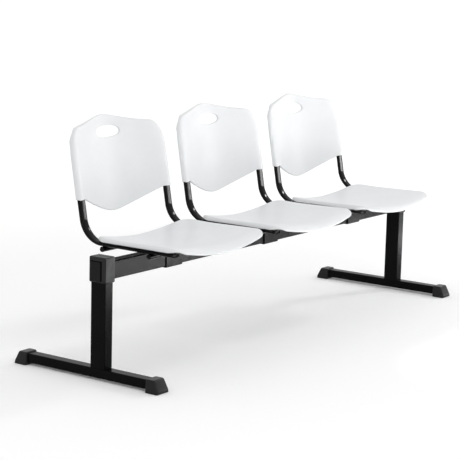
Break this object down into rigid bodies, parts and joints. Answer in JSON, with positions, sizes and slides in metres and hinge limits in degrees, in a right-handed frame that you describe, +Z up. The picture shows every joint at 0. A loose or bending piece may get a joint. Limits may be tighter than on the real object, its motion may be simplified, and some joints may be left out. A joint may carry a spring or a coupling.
{
  "type": "beam bench",
  "caption": "Public beam bench: white moulded seats and backs on bent oval tube frames, clamped to a black steel beam on T-shaped legs with wedge foot caps.",
  "frame": {"origin": "floor level, under the middle of the bench's box", "axes": "+X along the beam to a sitter's left, -Y to the front, +Z up"},
  "size_m": [1.942, 0.61, 0.813],
  "materials": {
    "white_shell": "satin moulded polypropylene, cool white",
    "frame_steel": "semi-matt black powder coat",
    "rail_steel": "half-gloss black paint on bent oval tube",
    "charcoal_plastic": "finely grained charcoal moulding",
    "panel_plastic": "smooth black moulding",
    "insert_metal": "sawn",
    "fastener_steel": "zinc plated"
  },
  "bodies": {
    "root": {"beam": "frame_steel", "upright_left": "frame_steel", "foot_tube_left": "frame_steel", "foot_cap_front_left": "charcoal_plastic", "foot_cap_rear_left": "charcoal_plastic", "joint_housing_left": "charcoal_plastic", "joint_panel_left": "panel_plastic", "beam_insert_left": "insert_metal", "joint_bolts_left": "fastener_steel", "upright_right": "frame_steel", "foot_tube_right": "frame_steel", "foot_cap_front_right": "charcoal_plastic", "foot_cap_rear_right": "charcoal_plastic", "joint_housing_right": "charcoal_plastic", "joint_panel_right": "panel_plastic", "beam_insert_right": "insert_metal", "joint_bolts_right": "fastener_steel", "side_rail_left_1": "rail_steel", "side_rail_right_1": "rail_steel", "cross_tube_front_1": "frame_steel", "cross_tube_rear_1": "frame_steel", "tube_plugs_1": "panel_plastic", "beam_clamp_1": "frame_steel", "beam_saddle_1": "frame_steel", "clamp_bolts_1": "fastener_steel", "seat_shell_1": "white_shell", "back_shell_1": "white_shell", "side_rail_left_2": "rail_steel", "side_rail_right_2": "rail_steel", "cross_tube_front_2": "frame_steel", "cross_tube_rear_2": "frame_steel", "tube_plugs_2": "panel_plastic", "beam_clamp_2": "frame_steel", "beam_saddle_2": "frame_steel", "clamp_bolts_2": "fastener_steel", "seat_shell_2": "white_shell", "back_shell_2": "white_shell", "side_rail_left_3": "rail_steel", "side_rail_right_3": "rail_steel", "cross_tube_front_3": "frame_steel", "cross_tube_rear_3": "frame_steel", "tube_plugs_3": "panel_plastic", "beam_clamp_3": "frame_steel", "beam_saddle_3": "frame_steel", "clamp_bolts_3": "fastener_steel", "seat_shell_3": "white_shell", "back_shell_3": "white_shell"}
  },
  "joints": []
}
